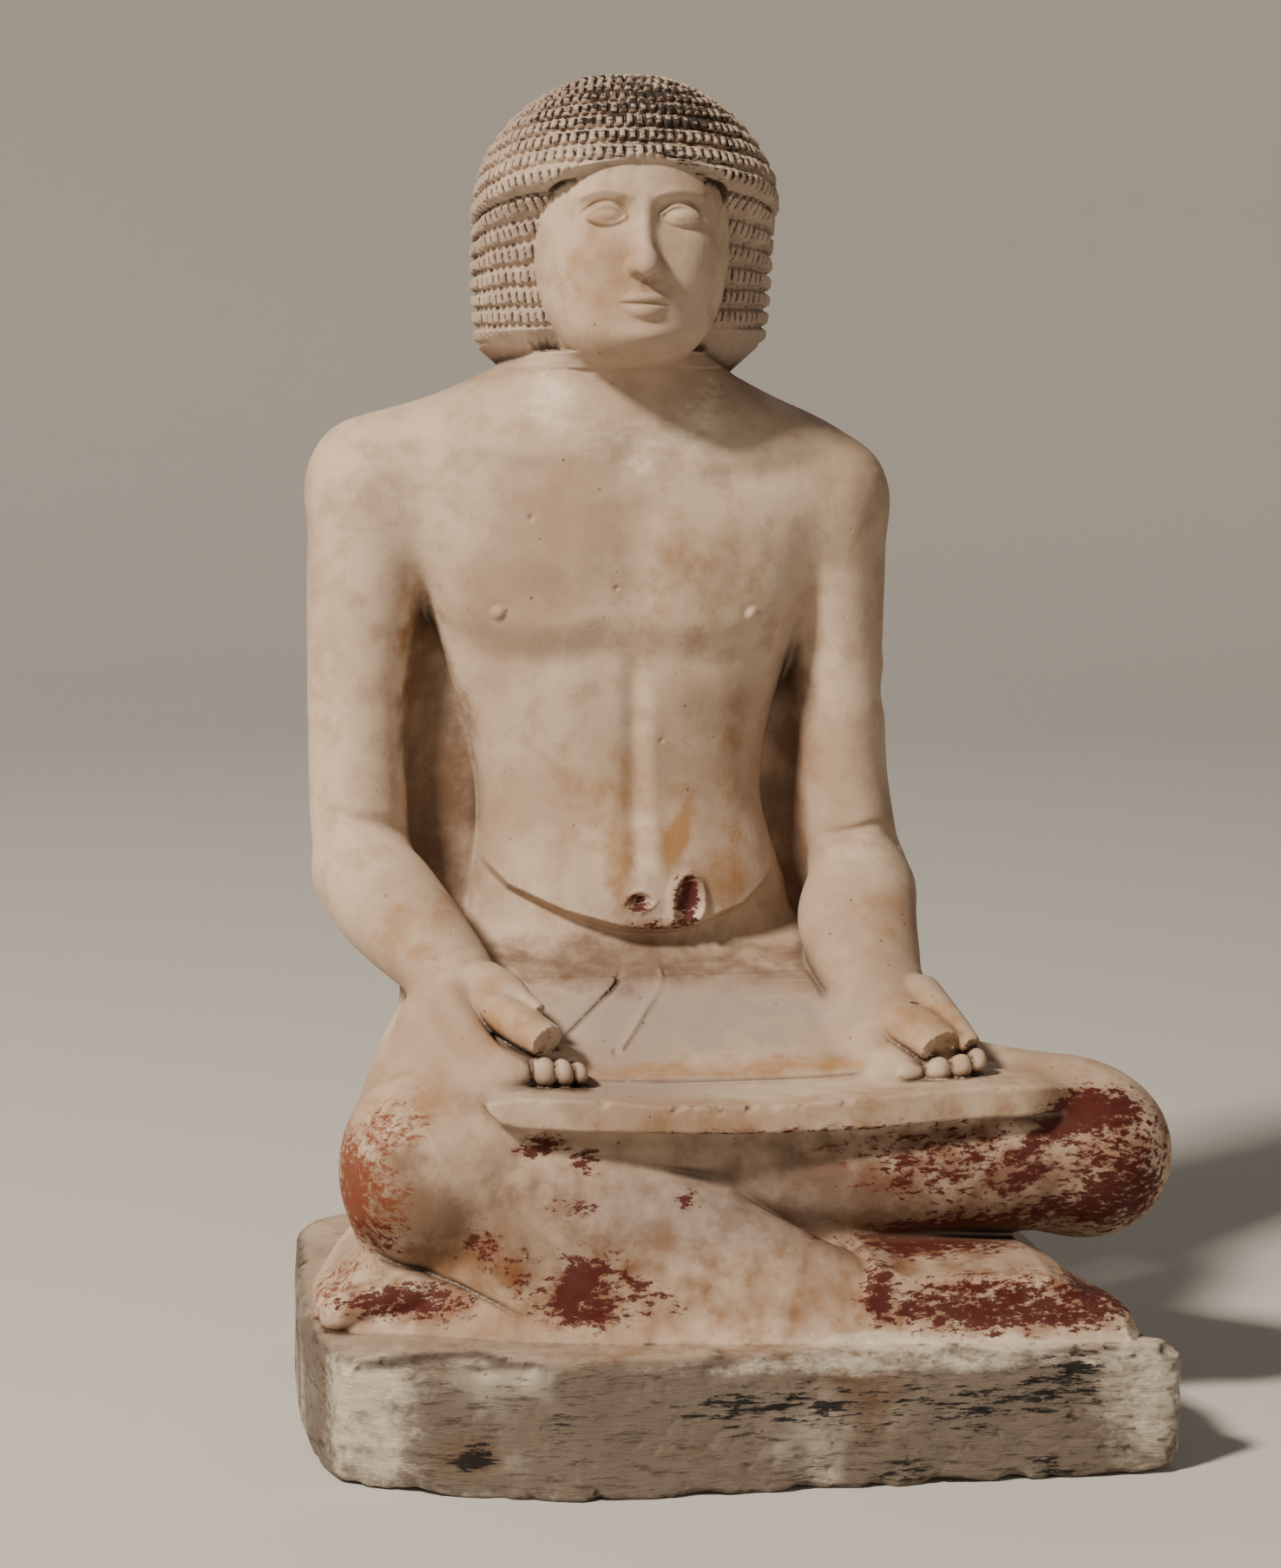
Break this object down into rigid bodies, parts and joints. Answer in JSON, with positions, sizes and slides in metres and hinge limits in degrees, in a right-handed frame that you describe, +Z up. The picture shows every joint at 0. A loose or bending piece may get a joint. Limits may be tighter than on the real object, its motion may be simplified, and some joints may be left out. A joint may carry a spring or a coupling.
{
  "type": "seated scribe statue",
  "caption": "Limestone statue of a cross-legged scribe in a short curled wig and kilt, fists palm up on the lap, carved in one block with a low worn plinth.",
  "frame": {"origin": "middle of the object's box in X and Y, at the plinth's underside", "axes": "+Z up, the figure faces -Y, +X towards the right hand of someone facing it"},
  "size_m": [0.3606, 0.2882, 0.5597],
  "materials": {
    "limestone": "dry matt carved limestone with worn remains of red-brown, ochre and black paint"
  },
  "bodies": {
    "root": {"scribe_statue": "limestone"}
  },
  "joints": []
}
